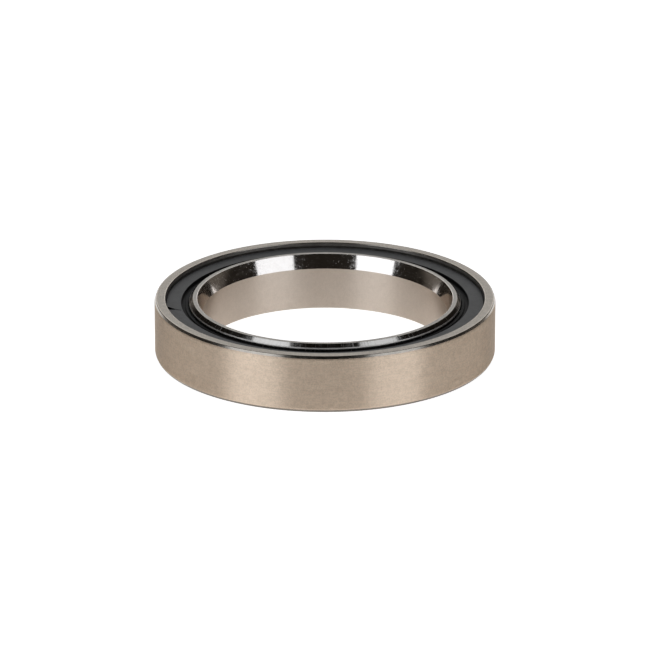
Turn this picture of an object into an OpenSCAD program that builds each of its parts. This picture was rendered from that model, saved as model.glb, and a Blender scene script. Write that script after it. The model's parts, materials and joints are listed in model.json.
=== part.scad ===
// Thin-section single-row ball bearing with two rubber seals and a large bore chamfer on one side.
// The axis is Z. The origin is the centre of the bottom face, so the bearing stands on z = 0.

/* [Envelope] */
// Outside diameter of the outer ring
outside_d = 38; // [37.8:0.1:39]
// Bore diameter of the inner ring
bore_d = 27.15; // [26.15:0.05:27.35]
// Width of the outer ring
width = 6.5; // [6.5:0.1:8]
// How far the inner ring's upper face lies below the outer ring's
inner_face_drop = 0.1; // [0:0.05:0.3]

/* [Balls] */
// Ball diameter
ball_d = 3.175; // [2.8:0.025:3.2]
// Number of balls
ball_count = 17; // [8:1:17]
// Radial clearance between a ball and each raceway
race_gap = 0.025; // [0.02:0.005:0.05]
// Raceway radius as a share of the ball diameter
conformity = 0.52; // [0.515:0.005:0.54]

/* [Rings] */
// Radial depth of the inner ring's shoulders beside the raceway
inner_shoulder_depth = 0.47; // [0.4:0.01:0.55]
// Radial depth of the outer ring's shoulders beside the raceway
outer_shoulder_depth = 0.6; // [0.5:0.01:0.7]
// Radial width of the chamfers at the outer ring's outside edges
outside_edge_w = 0.18; // [0.1:0.01:0.3]
// Height of those chamfers
outside_edge_h = 0.38; // [0.2:0.01:0.5]
// Rounding of the outer ring's edges beside the seals
seal_edge_r = 0.1; // [0.05:0.01:0.2]
// Radial width of the large bore chamfer
bore_chamfer_w = 0.67; // [0.5:0.01:0.9]
// Height of the large bore chamfer
bore_chamfer_h = 1.58; // [1:0.01:1.7]
// Chamfer of the bore's lower edge
bore_edge_c = 0.15; // [0.1:0.05:0.4]
// Size of the 45-degree cones at the inner ring's outside edges
lip_cone = 0.43; // [0.2:0.01:0.45]
// How far the rings' sharp corners are broken
ease = 0.04; // [0.02:0.01:0.06]

/* [Seals] */
// Depth of a seal's flat below the ring face
seal_recess = 0.6; // [0.55:0.01:0.7]
// Thickness of a seal
seal_t = 0.53; // [0.5:0.01:0.55]
// How far the retaining wall lies inside the outside radius
wall_inset = 1.22; // [1.15:0.01:1.3]
// Height of the retaining wall
wall_h = 0.42; // [0.35:0.01:0.5]
// Radial depth of the snap groove behind the retaining wall
snap_depth = 0.2; // [0.1:0.01:0.25]
// Clearance between the seal lip and the inner ring
lip_gap = 0.06; // [0.05:0.01:0.1]
// Radial width of the seal lip
lip_w = 0.39; // [0.3:0.01:0.5]
// How far the lip lies below the seal's flat
lip_drop = 0.22; // [0.15:0.01:0.25]
// Thickness of the lip at its tip
lip_t = 0.2; // [0.15:0.01:0.24]
// Width of the hinge groove between the lip and the flat
hinge_w = 0.39; // [0.3:0.01:0.45]
// Depth of the hinge groove below the flat
hinge_d = 0.35; // [0.3:0.01:0.36]
// Distance from the retaining wall to the seal's flat
flat_inset = 0.12; // [0.1:0.01:0.3]
// Width of the channel round the flat's outer edge
channel_w = 0.1; // [0.08:0.01:0.14]
// Depth of that channel below the flat
channel_d = 0.3; // [0.22:0.01:0.35]
// How far the bead in the snap groove lies below the flat
bead_drop = 0.2; // [0.15:0.01:0.2]
// Broken edge of the seal's flat and lip
flat_edge_c = 0.05; // [0.03:0.01:0.06]

/* [Seal insert] */
// Thickness of the steel insert
insert_t = 0.2; // [0.15:0.01:0.22]
// Height of the insert's turned-up rim
insert_rim_h = 0.33; // [0.3:0.01:0.35]
// Rubber between the insert and the hinge groove
insert_in_cover = 0.13; // [0.1:0.01:0.2]
// Rubber between the insert's rim and the flat's outer edge
insert_out_cover = 0.08; // [0.06:0.01:0.15]

/* [Nick in the upper seal] */
// Direction of the nick's outer end, from +X
nick_angle = 187.5; // [0:0.5:360]
// How far the nick turns away from the radial direction
nick_skew = -28; // [-40:1:40]
// Width of the nick at its outer end
nick_w = 1; // [0.3:0.01:1.1]
// Length over which the nick narrows
nick_taper = 1; // [0.5:0.05:1.2]
// Width of the rest of the nick
nick_end_w = 0.14; // [0.05:0.01:0.2]
// Depth of the nick
nick_d = 0.15; // [0.05:0.01:0.16]

/* [Cage] */
// Thickness of the cage's sheet steel
sheet_t = 0.28; // [0.2:0.01:0.3]
// Radial width of the cage's band
band_w = 0.96; // [0.8:0.01:1]
// Clearance between a ball and its pocket
pocket_gap = 0.04; // [0.03:0.005:0.05]
// Diameter of the rivet shanks
rivet_d = 0.5; // [0.4:0.01:0.55]
// Radial clearance of the rivet shanks in their holes
rivet_gap = 0.01; // [0:0.005:0.02]
// Diameter of the rivet heads
rivet_head_d = 0.84; // [0.7:0.01:0.86]
// Height of the rivet heads
rivet_head_h = 0.16; // [0.1:0.01:0.2]

/* [Hidden] */
$fn = 96;
tiny = 0.01;

outside_r = outside_d / 2;
bore_r = bore_d / 2;
mid_z = width / 2;
ball_r = ball_d / 2;
pitch_r = (outside_r + bore_r) / 2;
race_r = conformity * ball_d;
ball_step = 360 / ball_count;

inner_race_r = pitch_r - ball_r - race_gap;
inner_shoulder_r = inner_race_r + inner_shoulder_depth;
inner_top_z = width - inner_face_drop;

outer_race_r = pitch_r + ball_r + race_gap;
outer_shoulder_r = outer_race_r - outer_shoulder_depth;
wall_r = outside_r - wall_inset;
groove_r = wall_r + snap_depth;

seal_top_z = width - seal_recess;
seal_under_z = seal_top_z - seal_t;
lip_r = inner_shoulder_r + lip_gap;
lip_z = seal_top_z - lip_drop;
flat_in_r = lip_r + lip_w + hinge_w;
flat_out_r = wall_r - flat_inset;
insert_in_r = flat_in_r + insert_in_cover;
insert_out_r = flat_out_r - insert_out_cover;

pocket_r = ball_r + pocket_gap;
band_in_r = pitch_r - band_w / 2;
band_out_r = pitch_r + band_w / 2;

ring_steel = [0.60, 0.56, 0.51];
seal_black = [0.20, 0.20, 0.20];
sheet_steel = [0.62, 0.62, 0.60];
ball_steel = [0.80, 0.80, 0.82];

function ball_name(i) = str("ball_", i < 10 ? "0" : "", i);

// The point at distance t from a on the way to b
function toward(a, b, t) = a + (b - a) * t / norm(b - a);

// A closed outline with each corner replaced by two points, one on either side of it
function eased(outline, t) = [
    for (i = [0:len(outline) - 1])
        each [
            toward(outline[i], outline[(i + len(outline) - 1) % len(outline)], t),
            toward(outline[i], outline[(i + 1) % len(outline)], t)
        ]
];

// 2D: what is cut from a square corner at [0, 0] to round it, with the material at -x, -y
module corner_round(r) {
    difference() {
        translate([-r, -r]) square(r + tiny);
        translate([-r, -r]) circle(r);
    }
}

// 2D: its children as given, and once more mirrored about the bearing's middle plane
module both_sides() {
    children();
    translate([0, width]) mirror([0, 1]) children();
}

// 3D: its children turned over, from the bearing's upper side to its lower side
module underneath() {
    translate([0, 0, width]) mirror([0, 0, 1]) children();
}

// 2D: what the upper seal's seat cuts from the outer ring
module seal_seat() {
    translate([outer_shoulder_r - tiny, seal_under_z])
        square([wall_r - outer_shoulder_r + tiny, width - seal_under_z + tiny]);
    polygon([
        [wall_r - tiny, seal_under_z],
        [groove_r, seal_under_z],
        [groove_r, width - wall_h - snap_depth],
        [wall_r, width - wall_h],
        [wall_r - tiny, width - wall_h]
    ]);
    translate([wall_r, width]) mirror([1, 0]) corner_round(seal_edge_r);
}

module outer_ring_profile() {
    difference() {
        polygon(eased([
            [outer_shoulder_r, 0],
            [outside_r - outside_edge_w, 0],
            [outside_r, outside_edge_h],
            [outside_r, width - outside_edge_h],
            [outside_r - outside_edge_w, width],
            [outer_shoulder_r, width]
        ], ease));
        translate([outer_race_r - race_r, mid_z]) circle(race_r);
        both_sides() seal_seat();
    }
}

module outer_ring() {
    color(ring_steel) rotate_extrude() outer_ring_profile();
}

module inner_ring_profile() {
    difference() {
        polygon(eased([
            [bore_r, bore_edge_c],
            [bore_r + bore_edge_c, 0],
            [inner_shoulder_r - lip_cone, 0],
            [inner_shoulder_r, lip_cone],
            [inner_shoulder_r, inner_top_z - lip_cone],
            [inner_shoulder_r - lip_cone, inner_top_z],
            [bore_r + bore_chamfer_w, inner_top_z],
            [bore_r, inner_top_z - bore_chamfer_h]
        ], ease));
        translate([inner_race_r + race_r, mid_z]) circle(race_r);
    }
}

module inner_ring() {
    color(ring_steel) rotate_extrude() inner_ring_profile();
}

// 2D: section of the upper seal's steel insert, a washer with a turned-up outer rim
module insert_profile() {
    translate([insert_in_r, seal_under_z]) square([insert_out_r - insert_in_r, insert_t]);
    translate([insert_out_r - insert_t, seal_under_z]) square([insert_t, insert_rim_h]);
}

// 2D: section of the upper seal's rubber, from its lip out to the bead in the snap groove
module rubber_profile() {
    difference() {
        polygon([
            [lip_r, lip_z - lip_t],
            [lip_r + lip_w / 2, seal_under_z],
            [groove_r, seal_under_z],
            [groove_r, seal_top_z - bead_drop],
            [flat_out_r + channel_w, seal_top_z - bead_drop],
            [flat_out_r + channel_w, seal_top_z - channel_d],
            [flat_out_r, seal_top_z - channel_d],
            [flat_out_r, seal_top_z - flat_edge_c],
            [flat_out_r - flat_edge_c, seal_top_z],
            [flat_in_r + flat_edge_c, seal_top_z],
            [flat_in_r, seal_top_z - flat_edge_c],
            [flat_in_r, seal_top_z - hinge_d],
            [flat_in_r - hinge_w, seal_top_z - hinge_d],
            [flat_in_r - hinge_w, lip_z],
            [lip_r + flat_edge_c, lip_z - flat_edge_c],
            [lip_r, lip_z - 2 * flat_edge_c]
        ]);
        insert_profile();
    }
}

// A shallow slit across the upper seal's flat, wide at its outer end
module nick() {
    reach = flat_out_r - flat_in_r;
    rotate(nick_angle)
        translate([flat_out_r, 0, seal_top_z - nick_d])
            rotate(nick_skew)
                linear_extrude(nick_d + tiny)
                    polygon([
                        [channel_w, -nick_w / 2],
                        [channel_w, nick_w / 2],
                        [-nick_taper, nick_end_w / 2],
                        [-reach, nick_end_w / 2],
                        [-reach, -nick_end_w / 2],
                        [-nick_taper, -nick_end_w / 2]
                    ]);
}

module upper_seal_rubber() {
    color(seal_black) difference() {
        rotate_extrude() rubber_profile();
        nick();
    }
}

module lower_seal_rubber() {
    color(seal_black) underneath() rotate_extrude() rubber_profile();
}

module upper_seal_insert() {
    color(sheet_steel) rotate_extrude() insert_profile();
}

module lower_seal_insert() {
    color(sheet_steel) underneath() rotate_extrude() insert_profile();
}

// Its children once at each ball's centre, or turned from there round the axis
module at_balls(turn = 0) {
    for (i = [0:ball_count - 1])
        rotate(i * ball_step + turn) translate([pitch_r, 0, mid_z]) children();
}

module ball(i) {
    color(ball_steel) rotate((i - 1) * ball_step) translate([pitch_r, 0, mid_z]) sphere(ball_r);
}

// The room that the cage's upper half may fill, a tube above the middle plane
module cage_room() {
    translate([0, 0, mid_z]) difference() {
        cylinder(h = pocket_r + 2 * sheet_t, r = band_out_r);
        translate([0, 0, -tiny]) cylinder(h = pocket_r + 3 * sheet_t, r = band_in_r);
    }
}

// Upper half of the ribbon cage: a flat band raised into a spherical pocket over each ball
module cage_half() {
    difference() {
        intersection() {
            union() {
                translate([0, 0, mid_z]) cylinder(h = sheet_t, r = band_out_r);
                at_balls() sphere(pocket_r + sheet_t);
            }
            cage_room();
        }
        at_balls() sphere(pocket_r);
        at_balls(ball_step / 2) cylinder(h = 4 * sheet_t, d = rivet_d + 2 * rivet_gap, center = true);
    }
}

module cage_upper_half() {
    color(sheet_steel) cage_half();
}

module cage_lower_half() {
    color(sheet_steel) underneath() cage_half();
}

// Rivet through both halves of the cage, with a flat head on each side
module rivet() {
    cylinder(h = 2 * sheet_t, d = rivet_d, center = true);
    for (side = [0, 1])
        mirror([0, 0, side]) translate([0, 0, sheet_t]) cylinder(h = rivet_head_h, d = rivet_head_d);
}

module cage_rivets() {
    color(sheet_steel) at_balls(ball_step / 2) rivet();
}

outer_ring();
inner_ring();
upper_seal_rubber();
upper_seal_insert();
lower_seal_rubber();
lower_seal_insert();
cage_upper_half();
cage_lower_half();
cage_rivets();
for (i = [1:ball_count])
    ball(i);
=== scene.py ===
"""Looks of the sealed ball bearing: rings and seals turned from their sections, with rounded edges and
procedural steel and rubber, on a white surface between two softboxes and in front of a bright panel."""

import json
from math import atan2, cos, hypot, pi, radians, sin, sqrt, tan

import bpy
from mathutils import Matrix, Vector


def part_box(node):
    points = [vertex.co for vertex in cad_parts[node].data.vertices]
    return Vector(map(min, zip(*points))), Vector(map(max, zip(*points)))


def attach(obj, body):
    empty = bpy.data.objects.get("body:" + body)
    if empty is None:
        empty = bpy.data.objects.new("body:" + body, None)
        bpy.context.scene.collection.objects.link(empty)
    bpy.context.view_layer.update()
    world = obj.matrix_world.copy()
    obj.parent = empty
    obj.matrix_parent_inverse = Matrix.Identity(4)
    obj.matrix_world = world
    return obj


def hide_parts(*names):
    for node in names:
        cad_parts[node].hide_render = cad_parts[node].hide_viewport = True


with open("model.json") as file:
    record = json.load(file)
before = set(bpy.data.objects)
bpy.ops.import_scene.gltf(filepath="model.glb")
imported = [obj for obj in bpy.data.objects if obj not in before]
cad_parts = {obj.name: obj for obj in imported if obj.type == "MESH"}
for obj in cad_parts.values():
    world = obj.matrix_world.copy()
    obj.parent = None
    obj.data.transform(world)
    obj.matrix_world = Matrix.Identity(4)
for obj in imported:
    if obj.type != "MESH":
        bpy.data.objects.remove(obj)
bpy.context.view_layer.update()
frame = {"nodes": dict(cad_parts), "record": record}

MM = 0.001
mounts = {m["name"]: m for m in frame["record"]["mounts"]}

# Sizes in millimetres. The main ones come from the frame, and the others repeat the part's own or, like the
# chamfer's hollow and the roundings, are too fine for it.
OUTSIDE_R = mounts["outside"]["dims"]["r_mm"]
BORE_R = mounts["bore"]["dims"]["r_mm"]
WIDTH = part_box("outer_ring")[1][2] / MM
INNER_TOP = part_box("inner_ring")[1][2] / MM
INNER_SHOULDER_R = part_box("inner_ring")[1][0] / MM
GROOVE_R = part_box("upper_seal_rubber")[1][0] / MM
SEAL_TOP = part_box("upper_seal_rubber")[1][2] / MM
SEAL_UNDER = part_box("upper_seal_rubber")[0][2] / MM
BALL_D = (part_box("ball_01")[1][2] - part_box("ball_01")[0][2]) / MM
PITCH_R = (OUTSIDE_R + BORE_R) / 2

# Ball races
CONFORMITY = 0.52
RACE_GAP = 0.025
OUTER_SHOULDER_DEPTH = 0.6
RACE_R = CONFORMITY * BALL_D
OUTER_SHOULDER_R = PITCH_R + BALL_D / 2 + RACE_GAP - OUTER_SHOULDER_DEPTH

# Outer ring: its face, its outer edge and the seal's seat
WALL_INSET = 1.22
WALL_R = OUTSIDE_R - WALL_INSET
WALL_H = 0.42
SNAP_DEPTH = GROOVE_R - WALL_R
OUTSIDE_EDGE_W = 0.18
OUTSIDE_EDGE_H = 0.38

# Inner ring: the bore's upper chamfer, hollow between two straight ends, its lower edge, and the cones beside
# the seals' lips
BORE_CHAMFER_W = 0.67
BORE_CHAMFER_H = 1.58
CHAMFER_LENGTH = hypot(BORE_CHAMFER_W, BORE_CHAMFER_H)
CHAMFER_HOLLOW = 0.018
HOLLOW_END = 0.1
HOLLOW_R = (CHAMFER_LENGTH / 2 - HOLLOW_END) * (CHAMFER_LENGTH / 2) / CHAMFER_HOLLOW
BORE_EDGE = 0.15
LIP_CONE = 0.43

# Seals: lip, hinge groove, flat and channel, the pocket of the steel insert, and the nick
LIP_GAP = 0.06
LIP_R = INNER_SHOULDER_R + LIP_GAP
LIP_W = 0.39
LIP_DROP = 0.22
LIP_T = 0.2
HINGE_W = 0.39
HINGE_D = 0.35
FLAT_IN_R = LIP_R + LIP_W + HINGE_W
FLAT_INSET = 0.12
FLAT_OUT_R = WALL_R - FLAT_INSET
CHANNEL_W = 0.1
CHANNEL_D = 0.3
BEAD_DROP = 0.2
INSERT_T = 0.2
INSERT_RIM_H = 0.33
INSERT_IN_COVER = 0.13
INSERT_OUT_COVER = 0.08
INSERT_IN_R = FLAT_IN_R + INSERT_IN_COVER
INSERT_OUT_R = FLAT_OUT_R - INSERT_OUT_COVER
NICK_ANGLE = radians(187.5)
NICK_SKEW = radians(-28)
NICK_W = 1.0
NICK_TAPER = 1.0
NICK_END_W = 0.14
NICK_D = 0.15

# Roundings of the rings' corners
CYLINDER_ROUND = 0.5
FACE_ROUND = 0.14
WALL_ROUND = 0.1
SEAT_ROUND = 0.03
SHOULDER_ROUND = 0.04
BORE_ROUND = 0.05
BORE_FOOT_ROUND = 0.04
CHAMFER_ROUND = 0.06
CONE_ROUND = 0.05
LOWER_LAND_ROUND = 0.2
UPPER_LAND_ROUND = 0.22

# Roundings of the seals' corners
SHARP = 0.02
CRISP = 0.04
SOFT = 0.06
BEAD_ROUND = 0.1
LIP_TIP_ROUND = 0.07
LIP_FOOT_ROUND = 0.03
LIP_HEEL_ROUND = 0.05

# Steps of the turned meshes, and the digits of a millimetre to which their points are recognised
TURNS = 384
RACE_STEPS = 28
ARC_STEPS = 5
ARC_POINTS = ARC_STEPS + 1
MATCH_DIGITS = 4

# Camera: a long lens, far back, aimed at about half the bearing's height
ELEVATION = radians(20.833)
DISTANCE = 31.21 * OUTSIDE_R * MM
AIM = Vector((0, 0, 0.471 * WIDTH * MM))
LENS = 293.64
SENSOR = 36.0
NEAR_CLIP = 0.05

# Lights, in metres: the right softbox, which the left one mirrors, and the panel behind
BOX_CENTRE = Vector((0.422, -0.266, 0.483))
BOX_ACROSS = Vector((0.692, 0.668, -0.272)).normalized()
BOX_UP = Vector((0.054, 0.329, 0.943)).normalized()
BOX_SIZE = (0.3675, 0.96)
BOX_COLOUR = (0.94, 1.0, 1.08)
BOX_RADIANCE_RIGHT = 1.17
BOX_RADIANCE_LEFT = 1.38
PANEL_CENTRE = (0, 0.88, 0.47)
PANEL_SIZE = (0.85, 0.65)
PANEL_RADIANCE = 1.35
WHITE = (1.0, 1.0, 1.0)

# The white surface, a hair below the bearing, in metres. Its glow keeps the contact shadow faint.
FLOOR_HALF = 2.0
FLOOR_GAP = 0.00001
FLOOR_ALBEDO = 0.8
FLOOR_ROUGHNESS = 0.9
FLOOR_GLOW = 0.9

# The room's light by the sine of the elevation: dim walls, dark ceiling
SKY = (
    (0.0, (0.10, 0.09, 0.08)),
    (0.12, (0.10, 0.09, 0.08)),
    (0.20, (0.014, 0.012, 0.010)),
    (0.45, (0.014, 0.012, 0.010)),
    (0.62, (0.008, 0.0065, 0.005)),
)


def add_object(name, data):
    """A new object in the scene."""
    thing = bpy.data.objects.new(name, data)
    bpy.context.scene.collection.objects.link(thing)
    return thing


# ---------------------------------------------------------------- materials


class Nodes:
    """A short way to write a material's nodes. An input's name has _ for a space."""

    # The Mix node's sockets for colours, which share their names with others
    MIX_FACTOR, MIX_FIRST, MIX_SECOND, MIX_RESULT = 0, 6, 7, 2

    def __init__(self, name):
        self.material = bpy.data.materials.new(name)
        self.material.use_nodes = True
        self.tree = self.material.node_tree
        self.shader = self.tree.nodes["Principled BSDF"]

    def give(self, socket, value):
        """Links an input to another node's output, or sets it to a plain value."""
        if isinstance(value, bpy.types.NodeSocket):
            self.tree.links.new(value, socket)
        else:
            socket.default_value = value

    def add(self, kind, **inputs):
        node = self.tree.nodes.new(kind)
        for name, value in inputs.items():
            self.give(node.inputs[name.replace("_", " ")], value)
        return node

    def set(self, **inputs):
        """Sets inputs of the material's shader."""
        for name, value in inputs.items():
            self.give(self.shader.inputs[name.replace("_", " ")], value)

    def math(self, operation, first, second):
        node = self.tree.nodes.new("ShaderNodeMath")
        node.operation = operation
        self.give(node.inputs[0], first)
        self.give(node.inputs[1], second)
        return node.outputs[0]

    def vector_math(self, operation, vector, output):
        node = self.tree.nodes.new("ShaderNodeVectorMath")
        node.operation = operation
        self.give(node.inputs[0], vector)
        return node.outputs[output]

    def weighted(self, *parts):
        """The sum of values, each times its weight."""
        total, *others = [self.math("MULTIPLY", value, weight) for value, weight in parts]
        for other in others:
            total = self.math("ADD", total, other)
        return total

    def object_place(self):
        return self.add("ShaderNodeTexCoord").outputs["Object"]

    def round_place(self, along, across):
        """Coordinates that run round the axis without a seam: the direction from the axis times along, and
        the height plus the distance from the axis, in millimetres, times across."""
        split = self.add("ShaderNodeSeparateXYZ", Vector=self.object_place())
        flat = self.add("ShaderNodeCombineXYZ", X=split.outputs["X"], Y=split.outputs["Y"]).outputs[0]
        distance = self.vector_math("LENGTH", flat, "Value")
        direction = self.vector_math("NORMALIZE", flat, "Vector")
        turn = self.add("ShaderNodeSeparateXYZ", Vector=direction)
        reach = self.math("ADD", split.outputs["Z"], distance)
        return self.add(
            "ShaderNodeCombineXYZ",
            X=self.math("MULTIPLY", turn.outputs["X"], along),
            Y=self.math("MULTIPLY", turn.outputs["Y"], along),
            Z=self.math("MULTIPLY", reach, across / MM),
        ).outputs[0]

    def noise(self, place, scale=1.0, detail=3.0, roughness=0.6):
        node = self.add("ShaderNodeTexNoise", Vector=place, Scale=scale, Detail=detail, Roughness=roughness)
        return node.outputs["Fac"]

    def spread(self, value, low, high, start=0.3, end=0.7):
        """Takes a value between start and end to one between low and high."""
        return self.add(
            "ShaderNodeMapRange", Value=value, From_Min=start, From_Max=end, To_Min=low, To_Max=high
        ).outputs[0]

    def mix_colour(self, factor, first, second):
        node = self.tree.nodes.new("ShaderNodeMix")
        node.data_type = "RGBA"
        self.give(node.inputs[self.MIX_FACTOR], factor)
        self.give(node.inputs[self.MIX_FIRST], (*first, 1.0))
        self.give(node.inputs[self.MIX_SECOND], (*second, 1.0))
        return node.outputs[self.MIX_RESULT]

    def bump(self, height, depth):
        """A bump of a depth in millimetres."""
        return self.add("ShaderNodeBump", Height=height, Distance=depth * MM).outputs[0]


def ground_steel(name, dark, light, roughness, anisotropy, grain, grazing):
    """Steel ground round the axis: long fine scratches, soft blotches and a highlight drawn out across
    them. The lower grazing is, the less it shines where it is seen edge on."""
    n = Nodes(name)
    scratches = n.noise(n.round_place(along=7.0, across=11.0), detail=4.0)
    blotches = n.noise(n.round_place(along=36.0, across=2.2), roughness=0.7)
    speckle = n.noise(n.round_place(along=110.0, across=6.0), detail=2.0)
    surface = n.weighted((scratches, 0.35), (blotches, 0.3), (speckle, 0.35))
    round_the_axis = n.add("ShaderNodeTangent")
    round_the_axis.direction_type = "RADIAL"
    round_the_axis.axis = "Z"
    n.set(
        Base_Color=n.mix_colour(n.spread(surface, 0.0, 1.0, start=0.44, end=0.56), dark, light),
        Metallic=1.0,
        Roughness=n.spread(scratches, 0.85 * roughness, 1.15 * roughness),
        Specular_Tint=(grazing, grazing, grazing, 1.0),
        Anisotropic=anisotropy,
        Anisotropic_Rotation=0.25,
        Tangent=round_the_axis.outputs[0],
        Normal=n.bump(surface, 0.004 * grain),
    )
    return n.material


def polished_steel(name, dark, light, roughness, specks=1.0):
    """Turned or honed steel with a near-mirror finish: faint turning lines, smudges and fine specks."""
    n = Nodes(name)
    lines = n.noise(n.round_place(along=3.0, across=9.0))
    smudges = n.noise(n.round_place(along=14.0, across=1.1), detail=4.0, roughness=0.7)
    fine = n.noise(n.round_place(along=75.0, across=5.5), roughness=0.75)
    dull = n.math("MULTIPLY", n.spread(fine, 0.0, 2.6, start=0.56, end=0.74), specks)
    smudged = n.spread(smudges, 0.6 * roughness, 1.8 * roughness, start=0.4, end=0.75)
    n.set(
        Base_Color=n.mix_colour(n.spread(smudges, 0.0, 1.0), dark, light),
        Metallic=1.0,
        Roughness=n.math("ADD", smudged, n.math("MULTIPLY", dull, roughness)),
        Normal=n.bump(lines, 0.0006),
    )
    return n.material


def satin_steel(name, dark, light, roughness, grain):
    """Lapped or tumbled steel, or steel darkened with painted shade: short marks and soft patches with no
    direction of their own.
    """
    n = Nodes(name)
    place = n.object_place()
    marks = n.noise(place, scale=9.0 / MM, detail=4.0)
    patches = n.noise(place, scale=1.1 / MM)
    surface = n.weighted((marks, 0.5), (patches, 0.5))
    n.set(
        Base_Color=n.mix_colour(n.spread(surface, 0.0, 1.0, start=0.38, end=0.62), dark, light),
        Metallic=1.0,
        Roughness=n.spread(patches, 0.85 * roughness, 1.15 * roughness),
        Normal=n.bump(marks, 0.003 * grain),
    )
    return n.material


def moulded_rubber(name, dark, light, roughness, sheen):
    """Matte nitrile rubber: fine mould texture, faint rings from the mould and a slight dusty bloom."""
    n = Nodes(name)
    place = n.object_place()
    pores = n.noise(place, scale=14.0 / MM)
    rings = n.noise(n.round_place(along=1.5, across=7.0), detail=2.0)
    bloom = n.noise(place, scale=0.6 / MM, detail=4.0, roughness=0.65)
    n.set(
        Base_Color=n.mix_colour(n.spread(bloom, 0.0, 1.0), dark, light),
        Roughness=n.spread(pores, 0.87 * roughness, 1.13 * roughness),
        Specular_IOR_Level=sheen,
        Normal=n.bump(n.math("ADD", pores, n.math("MULTIPLY", rings, 0.6)), 0.005),
    )
    return n.material


def sheet_steel(name, dark, light, roughness):
    """Pressed sheet steel: tumbled all over, with small scuffs."""
    n = Nodes(name)
    place = n.object_place()
    scuffs = n.noise(place, scale=3.0 / MM, detail=5.0, roughness=0.75)
    grain = n.noise(place, scale=18.0 / MM, detail=2.0)
    n.set(
        Base_Color=n.mix_colour(n.spread(scuffs, 0.0, 1.0), dark, light),
        Metallic=1.0,
        Roughness=n.spread(scuffs, 0.75 * roughness, 1.3 * roughness),
        Normal=n.bump(grain, 0.004),
    )
    return n.material


def lapped_ball(name, dark, light, roughness):
    """A bearing ball, lapped to a mirror, with a faint haze and hairline marks in every direction."""
    n = Nodes(name)
    place = n.object_place()
    haze = n.noise(place, scale=1.4 / MM, detail=4.0)
    hairlines = n.noise(place, scale=30.0 / MM, detail=2.0)
    n.set(
        Base_Color=n.mix_colour(n.spread(haze, 0.0, 1.0), dark, light),
        Metallic=1.0,
        Roughness=n.spread(haze, 0.6 * roughness, 1.8 * roughness),
        Normal=n.bump(hairlines, 0.0002),
    )
    return n.material


steel = {
    "cylinder": ground_steel(
        "steel_ground_outside",
        dark=(0.67, 0.54, 0.415),
        light=(0.83, 0.67, 0.525),
        roughness=0.47,
        anisotropy=1.0,
        grain=1.5,
        grazing=0.5,
    ),
    "bore": ground_steel(
        "steel_ground_bore",
        dark=(0.64, 0.548, 0.462),
        light=(0.69, 0.592, 0.502),
        roughness=0.5,
        anisotropy=0.9,
        grain=0.6,
        grazing=0.9,
    ),
    "face": satin_steel(
        "steel_lapped_face", dark=(0.41, 0.38, 0.335), light=(0.70, 0.645, 0.58), roughness=0.6, grain=2.0
    ),
    "inner_face": satin_steel(
        "steel_lapped_inner_face",
        dark=(0.42, 0.40, 0.37),
        light=(0.58, 0.555, 0.52),
        roughness=0.6,
        grain=1.0,
    ),
    "wall": satin_steel(
        "steel_turned_wall", dark=(0.55, 0.51, 0.47), light=(0.64, 0.60, 0.55), roughness=0.35, grain=0.3
    ),
    "edge": satin_steel(
        "steel_tumbled_edge", dark=(0.36, 0.32, 0.275), light=(0.46, 0.415, 0.36), roughness=0.2, grain=0.5
    ),
    # Darker steel for the outer ring's lower edges: painted shade standing in for the contact shadow under
    # them.
    "foot": satin_steel(
        "steel_stained_edge", dark=(0.15, 0.13, 0.11), light=(0.22, 0.195, 0.17), roughness=0.3, grain=1.0
    ),
    "land": satin_steel(
        "steel_ground_land", dark=(0.72, 0.68, 0.63), light=(0.84, 0.80, 0.745), roughness=0.5, grain=1.0
    ),
    "chamfer": polished_steel(
        "steel_polished_chamfer",
        dark=(0.815, 0.75, 0.69),
        light=(0.905, 0.845, 0.79),
        roughness=0.09,
        specks=1.2,
    ),
    "cone": polished_steel(
        "steel_polished_cone", dark=(0.455, 0.425, 0.39), light=(0.54, 0.51, 0.475), roughness=0.13
    ),
    "race": polished_steel(
        "steel_honed_race", dark=(0.64, 0.62, 0.60), light=(0.72, 0.70, 0.68), roughness=0.06
    ),
}
rubber = {
    "rubber": moulded_rubber(
        "rubber_nitrile", dark=(0.086, 0.0845, 0.082), light=(0.12, 0.118, 0.114), roughness=0.64, sheen=0.5
    ),
    # Near-black rubber on the lip and in the hinge groove: the groove's black is painted shade, and the lip
    # is darker than the flat.
    "lip": moulded_rubber(
        "rubber_lip_greased",
        dark=(0.008, 0.0075, 0.007),
        light=(0.014, 0.0135, 0.013),
        roughness=0.6,
        sheen=0.08,
    ),
}
# The nick's cut faces are near-black: painted shade inside the slit.
nick_rubber_painted_shade = moulded_rubber(
    "rubber_cut", dark=(0.002, 0.002, 0.002), light=(0.005, 0.005, 0.005), roughness=0.8, sheen=0.05
)
insert_steel = sheet_steel(
    "steel_seal_insert", dark=(0.42, 0.42, 0.41), light=(0.56, 0.56, 0.54), roughness=0.34
)
cage_steel = sheet_steel(
    "steel_cage_sheet", dark=(0.46, 0.45, 0.43), light=(0.60, 0.59, 0.57), roughness=0.30
)
rivet_steel = sheet_steel(
    "steel_rivet_wire", dark=(0.52, 0.51, 0.49), light=(0.66, 0.65, 0.63), roughness=0.24
)
ball_steel = lapped_ball(
    "steel_lapped_ball", dark=(0.66, 0.66, 0.67), light=(0.76, 0.76, 0.77), roughness=0.045
)


# ----------------------------------------------------------------- sections


def corner(r, z, radius, finish, rim=None):
    """A corner of a section: where it is, its rounding, the finish of the stretch that follows and, where
    it is another, the finish of the rounding itself."""
    return (r, z, radius, finish, rim or finish)


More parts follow.
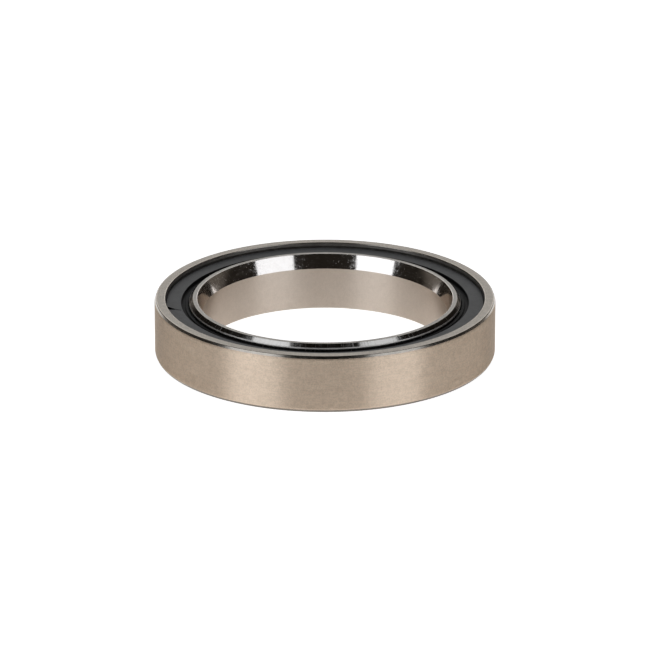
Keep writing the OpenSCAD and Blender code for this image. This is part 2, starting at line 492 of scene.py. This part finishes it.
def mirrored(corners, last):
    """The same corners on the other side of the middle plane, in reverse order. The last one's stretch,
    which has none to copy, gets the finish last."""
    stretches = [last] + [stretch for _, _, _, stretch, _ in corners[:-1]]
    other = [
        (r, WIDTH - z, radius, stretch, rim)
        for (r, z, radius, _, rim), stretch in zip(corners, stretches)
    ]
    return other[::-1]


def refinished(corners, old, new):
    """The same corners, with one finish changed for another."""
    swap = {old: new}
    return [
        (r, z, radius, swap.get(stretch, stretch), swap.get(rim, rim))
        for r, z, radius, stretch, rim in corners
    ]


def rounded(corners):
    """A closed section from its corners, anticlockwise, with the corners as arcs. Gives the points as
    (r, z, normal r, normal z, finish of the stretch that follows)."""
    points = []
    for i, (r, z, radius, finish, rim) in enumerate(corners):
        before, after = corners[i - 1], corners[(i + 1) % len(corners)]
        way_in = Vector((r - before[0], z - before[1])).normalized()
        way_out = Vector((after[0] - r, after[1] - z)).normalized()
        turn = atan2(way_in.x * way_out.y - way_in.y * way_out.x, way_in.dot(way_out))
        cut = radius * tan(abs(turn) / 2)
        side = 1.0 if turn > 0 else -1.0
        normal_in = Vector((way_in.y, -way_in.x))
        centre = Vector((r, z)) - cut * way_in - side * radius * normal_in
        for k in range(ARC_POINTS):
            angle = turn * k / ARC_STEPS
            normal = Vector((
                normal_in.x * cos(angle) - normal_in.y * sin(angle),
                normal_in.x * sin(angle) + normal_in.y * cos(angle),
            ))
            at = centre + side * radius * normal
            points.append((at.x, at.y, normal.x, normal.y, rim if k < ARC_STEPS else finish))
    return points


def race_opening(centre_r, shoulder_r):
    """The angle at which a race's circle, centred at centre_r, meets the shoulder."""
    across = shoulder_r - centre_r
    return atan2(sqrt(RACE_R**2 - across**2), across)


def race_arc(centre_r, start, end, after="race"):
    """Points of a race, seen from inside its circle, from the angle start to end. The stretch that follows
    the last one gets the finish after."""
    points = []
    for k in range(RACE_STEPS + 1):
        angle = start + (end - start) * k / RACE_STEPS
        across, up = cos(angle), sin(angle)
        finish = "race" if k < RACE_STEPS else after
        points.append((centre_r + RACE_R * across, WIDTH / 2 + RACE_R * up, -across, -up, finish))
    return points


def with_race(before, race, after, shoulder_r):
    """A ring's section: the race, between the corners that come before it and those that come after."""
    outline = rounded(before + [corner(shoulder_r, WIDTH / 2, 0.0, "race")] + after)
    split = ARC_POINTS * len(before)
    return outline[:split] + race + outline[split + ARC_POINTS:]


def outer_ring_section():
    """Outer edge, face, wall and snap groove, the same on both sides, and the race between them. The lower
    side's edges have a darker finish of their own: painted contact shade."""
    centre_r = PITCH_R + BALL_D / 2 + RACE_GAP - RACE_R
    opening = race_opening(centre_r, OUTER_SHOULDER_R)
    upper = [
        corner(OUTSIDE_R, WIDTH - OUTSIDE_EDGE_H, CYLINDER_ROUND, "edge", "cylinder"),
        corner(OUTSIDE_R - OUTSIDE_EDGE_W, WIDTH, FACE_ROUND, "face", "edge"),
        corner(WALL_R, WIDTH, WALL_ROUND, "wall", "edge"),
        corner(WALL_R, WIDTH - WALL_H, SEAT_ROUND, "wall"),
        corner(GROOVE_R, WIDTH - WALL_H - SNAP_DEPTH, SEAT_ROUND, "wall"),
        corner(GROOVE_R, SEAL_UNDER, SEAT_ROUND, "wall"),
        corner(OUTER_SHOULDER_R, SEAL_UNDER, SHOULDER_ROUND, "wall"),
    ]
    # The lower side's edges get the darker steel, which is painted contact shade.
    lower = refinished(mirrored(upper, "cylinder"), "edge", "foot")
    return with_race(upper, race_arc(centre_r, opening, -opening), lower, OUTER_SHOULDER_R)


def inner_ring_section():
    """Bore with its lower edge and its big upper chamfer, two faces, two cones, and the race."""
    centre_r = PITCH_R - BALL_D / 2 - RACE_GAP + RACE_R
    opening = race_opening(centre_r, INNER_SHOULDER_R)
    lower = [
        corner(BORE_R, INNER_TOP - BORE_CHAMFER_H, BORE_ROUND, "bore"),
        corner(BORE_R, BORE_EDGE, BORE_ROUND, "edge"),
        corner(BORE_R + BORE_EDGE, 0, BORE_FOOT_ROUND, "inner_face", "edge"),
        corner(INNER_SHOULDER_R - LIP_CONE, 0, CONE_ROUND, "cone"),
        corner(INNER_SHOULDER_R, LIP_CONE, LOWER_LAND_ROUND, "cone"),
    ]
    hollow_r = BORE_R + BORE_CHAMFER_W / 2 + CHAMFER_HOLLOW * BORE_CHAMFER_H / CHAMFER_LENGTH
    hollow_z = INNER_TOP - BORE_CHAMFER_H / 2 - CHAMFER_HOLLOW * BORE_CHAMFER_W / CHAMFER_LENGTH
    upper = [
        corner(INNER_SHOULDER_R, INNER_TOP - LIP_CONE, UPPER_LAND_ROUND, "cone", "land"),
        corner(INNER_SHOULDER_R - LIP_CONE, INNER_TOP, CONE_ROUND, "inner_face", "edge"),
        corner(BORE_R + BORE_CHAMFER_W, INNER_TOP, CHAMFER_ROUND, "chamfer"),
        corner(hollow_r, hollow_z, HOLLOW_R, "chamfer"),
    ]
    race = race_arc(centre_r, 2 * pi - opening, opening, after="cone")
    return with_race(lower, race, upper, INNER_SHOULDER_R)


def seal_section():
    """The upper seal's rubber: lip, hinge groove, flat, channel and bead above, the insert's place below."""
    pocket_top = SEAL_UNDER + INSERT_T
    rim_top = SEAL_UNDER + INSERT_RIM_H
    rim_in_r = INSERT_OUT_R - INSERT_T
    lip_z = SEAL_TOP - LIP_DROP
    hinge_z = SEAL_TOP - HINGE_D
    channel_z = SEAL_TOP - CHANNEL_D
    channel_out_r = FLAT_OUT_R + CHANNEL_W
    bead_z = SEAL_TOP - BEAD_DROP
    return rounded([
        corner(LIP_R, lip_z - LIP_T, LIP_FOOT_ROUND, "lip"),
        corner(LIP_R + LIP_W / 2, SEAL_UNDER, LIP_HEEL_ROUND, "rubber"),
        corner(INSERT_IN_R, SEAL_UNDER, SHARP, "rubber"),
        corner(INSERT_IN_R, pocket_top, SHARP, "rubber"),
        corner(rim_in_r, pocket_top, SHARP, "rubber"),
        corner(rim_in_r, rim_top, SHARP, "rubber"),
        corner(INSERT_OUT_R, rim_top, SHARP, "rubber"),
        corner(INSERT_OUT_R, SEAL_UNDER, SHARP, "rubber"),
        corner(GROOVE_R, SEAL_UNDER, CRISP, "rubber"),
        corner(GROOVE_R, bead_z, BEAD_ROUND, "rubber"),
        corner(channel_out_r, bead_z, CRISP, "rubber"),
        corner(channel_out_r, channel_z, SHARP, "rubber"),
        corner(FLAT_OUT_R, channel_z, SHARP, "rubber"),
        corner(FLAT_OUT_R, SEAL_TOP, SOFT, "rubber"),
        corner(FLAT_IN_R, SEAL_TOP, SOFT, "lip"),
        corner(FLAT_IN_R, hinge_z, CRISP, "lip"),
        corner(LIP_R + LIP_W, hinge_z, CRISP, "lip"),
        corner(LIP_R + LIP_W, lip_z, SOFT, "lip"),
        corner(LIP_R, lip_z, LIP_TIP_ROUND, "lip"),
    ])


def turned_over(section):
    """A section of the upper side moved to the lower side."""
    return [
        (r, WIDTH - z, normal_r, -normal_z, finish)
        for r, z, normal_r, normal_z, finish in reversed(section)
    ]


# ------------------------------------------------------------------- shapes


def turned(name, section, finishes):
    """A piece turned round the axis from its closed section, which runs anticlockwise in (r, z)."""
    slots = list(finishes)
    stretch_slots = [slots.index(finish) for *_, finish in section]
    size = len(section)
    vertices, normals, faces, materials = [], [], [], []
    for a in range(TURNS):
        angle = 2 * pi * a / TURNS
        for r, z, normal_r, normal_z, _ in section:
            vertices.append((r * MM * cos(angle), r * MM * sin(angle), z * MM))
            normals.append((normal_r * cos(angle), normal_r * sin(angle), normal_z))
    for a in range(TURNS):
        b = (a + 1) % TURNS
        for i in range(size):
            j = (i + 1) % size
            faces.append((a * size + i, b * size + i, b * size + j, a * size + j))
        materials += stretch_slots
    mesh = bpy.data.meshes.new(name)
    mesh.from_pydata(vertices, [], faces)
    for slot in slots:
        mesh.materials.append(finishes[slot])
    mesh.polygons.foreach_set("material_index", materials)
    mesh.polygons.foreach_set("use_smooth", [True] * len(faces))
    mesh.update()
    mesh.normals_split_custom_set_from_vertices(normals)
    return add_object(name, mesh)


def nick_cutter(material):
    """A prism that cuts the nick across the upper seal's flat: wide at its outer end, then narrow."""
    reach = FLAT_OUT_R - FLAT_IN_R
    outline = [
        (CHANNEL_W, -NICK_W / 2),
        (CHANNEL_W, NICK_W / 2),
        (-NICK_TAPER, NICK_END_W / 2),
        (-reach, NICK_END_W / 2),
        (-reach, -NICK_END_W / 2),
        (-NICK_TAPER, -NICK_END_W / 2),
    ]
    start = Vector((FLAT_OUT_R * cos(NICK_ANGLE), FLAT_OUT_R * sin(NICK_ANGLE)))
    angle = NICK_ANGLE + NICK_SKEW
    vertices = []
    for z in (SEAL_TOP - NICK_D, SEAL_TOP + NICK_D):
        for along, across in outline:
            x = start.x + along * cos(angle) - across * sin(angle)
            y = start.y + along * sin(angle) + across * cos(angle)
            vertices.append((x * MM, y * MM, z * MM))
    count = len(outline)
    faces = [tuple(reversed(range(count))), tuple(range(count, 2 * count))]
    faces += [(i, (i + 1) % count, count + (i + 1) % count, count + i) for i in range(count)]
    mesh = bpy.data.meshes.new("nick_cutter")
    mesh.from_pydata(vertices, [], faces)
    mesh.materials.append(material)
    return add_object("nick_cutter", mesh)


def section_key(r, z):
    return round(r, MATCH_DIGITS), round(z, MATCH_DIGITS)


def cut(piece, cutter, section):
    """Cuts a turned piece with the cutter. The cut's own faces and corners are flat, and the rest keeps the
    section's normals."""
    modifier = piece.modifiers.new("cut", "BOOLEAN")
    modifier.operation = "DIFFERENCE"
    modifier.solver = "EXACT"
    modifier.material_mode = "TRANSFER"
    modifier.object = cutter
    cut_material = cutter.data.materials[0]
    shape = piece.evaluated_get(bpy.context.evaluated_depsgraph_get())
    mesh = bpy.data.meshes.new_from_object(shape)
    piece.modifiers.clear()
    piece.data = mesh
    bpy.data.objects.remove(cutter)
    known = {section_key(r, z): (normal_r, normal_z) for r, z, normal_r, normal_z, _ in section}
    normals = []
    for face in mesh.polygons:
        made_by_cut = mesh.materials[face.material_index] == cut_material
        for index in face.vertices:
            x, y, z = (value / MM for value in mesh.vertices[index].co)
            radius = hypot(x, y)
            found = known.get(section_key(radius, z))
            if made_by_cut or not found:
                normals.append(tuple(face.normal))
            else:
                normals.append((found[0] * x / radius, found[0] * y / radius, found[1]))
    mesh.polygons.foreach_set("use_smooth", [True] * len(mesh.polygons))
    mesh.normals_split_custom_set(normals)


def made(name, section, finishes, body, node):
    """A turned piece that rides a body and takes the place of a CAD node, which is hidden."""
    piece = turned(name, section, finishes)
    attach(piece, body)
    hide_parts(node)
    return piece


def steel_for(*names):
    """The steel finishes of one piece, in the order of its material slots."""
    return {name: steel[name] for name in names}


def finish_nodes(material, *nodes):
    """A CAD node whose shape is right stays, with a material of its own."""
    for node in nodes:
        for slot in frame["nodes"][node].material_slots:
            slot.material = material


made(
    "outer_ring_turned",
    outer_ring_section(),
    steel_for("face", "edge", "foot", "wall", "race", "cylinder"),
    "outer_body",
    "outer_ring",
)
made(
    "inner_ring_turned",
    inner_ring_section(),
    steel_for("bore", "edge", "inner_face", "cone", "chamfer", "race", "land"),
    "inner_body",
    "inner_ring",
)
seal = seal_section()
upper_seal = made("upper_seal_moulded", seal, rubber, "outer_body", "upper_seal_rubber")
cut(upper_seal, nick_cutter(nick_rubber_painted_shade), seal)
made("lower_seal_moulded", turned_over(seal), rubber, "outer_body", "lower_seal_rubber")

balls = [name for name in frame["nodes"] if name.startswith("ball_")]
finish_nodes(insert_steel, "upper_seal_insert", "lower_seal_insert")
finish_nodes(cage_steel, "cage_upper_half", "cage_lower_half")
finish_nodes(rivet_steel, "cage_rivets")
finish_nodes(ball_steel, *balls)


# ------------------------------------------------------------------- studio


def area_light(name, size, radiance, colour):
    """A rectangular light of a given radiance, which doesn't depend on its size."""
    data = bpy.data.lights.new(name, "AREA")
    data.shape = "RECTANGLE"
    data.size, data.size_y = size
    data.energy = radiance * pi * size[0] * size[1]
    data.color = colour
    return add_object(name, data)


def softbox(name, side, radiance):
    """A tall softbox beside the camera, its top leaning towards the bearing; side is 1 for the right and -1
    for the left."""
    centre, across, up = (Vector((side * v.x, v.y, v.z)) for v in (BOX_CENTRE, BOX_ACROSS, BOX_UP))
    across = side * across
    turn = Matrix((across, up, across.cross(up))).transposed().to_4x4()
    area_light(name, BOX_SIZE, radiance, BOX_COLOUR).matrix_world = Matrix.Translation(centre) @ turn


def backdrop():
    """A bright panel behind the bearing, for the faces that look up."""
    panel = area_light("backdrop", PANEL_SIZE, PANEL_RADIANCE, WHITE)
    panel.location = PANEL_CENTRE
    panel.rotation_euler = Vector(PANEL_CENTRE).to_track_quat("Z", "Y").to_euler()


def white_floor():
    """The surface that the bearing lies on."""
    sides = ((-1, -1), (1, -1), (1, 1), (-1, 1))
    corners = [(x * FLOOR_HALF, y * FLOOR_HALF, -FLOOR_GAP) for x, y in sides]
    mesh = bpy.data.meshes.new("floor")
    mesh.from_pydata(corners, [], [(0, 1, 2, 3)])
    n = Nodes("white_surface")
    n.set(Base_Color=(FLOOR_ALBEDO, FLOOR_ALBEDO, FLOOR_ALBEDO, 1), Roughness=FLOOR_ROUGHNESS)
    n.set(Emission_Color=(*WHITE, 1), Emission_Strength=FLOOR_GLOW)
    mesh.materials.append(n.material)
    floor = add_object("floor", mesh)


def room():
    """The dim room round the lights, as the world's colour by elevation."""
    world = bpy.data.worlds.new("room")
    world.use_nodes = True
    tree = world.node_tree
    direction = tree.nodes.new("ShaderNodeTexCoord")
    split = tree.nodes.new("ShaderNodeSeparateXYZ")
    ramp = tree.nodes.new("ShaderNodeValToRGB")
    tree.links.new(direction.outputs["Generated"], split.inputs[0])
    tree.links.new(split.outputs["Z"], ramp.inputs[0])
    tree.links.new(ramp.outputs[0], tree.nodes["Background"].inputs["Color"])
    stops = ramp.color_ramp.elements
    stops[0].position, stops[1].position = SKY[0][0], SKY[-1][0]
    for position, _ in SKY[1:-1]:
        stops.new(position)
    for stop, (_, colour) in zip(stops, SKY):
        stop.color = (*colour, 1)
    bpy.context.scene.world = world


def place_camera():
    """The photograph's view, from straight in front and above."""
    data = bpy.data.cameras.new("camera")
    data.lens = LENS
    data.sensor_width = SENSOR
    data.clip_start = NEAR_CLIP
    camera = add_object("camera", data)
    camera.location = (0, -DISTANCE * cos(ELEVATION), DISTANCE * sin(ELEVATION))
    camera.rotation_euler = (AIM - camera.location).to_track_quat("-Z", "Y").to_euler()
    bpy.context.scene.camera = camera


softbox("softbox_right", 1, BOX_RADIANCE_RIGHT)
softbox("softbox_left", -1, BOX_RADIANCE_LEFT)
backdrop()
white_floor()
room()
place_camera()
bpy.context.scene.view_settings.view_transform = "Standard"
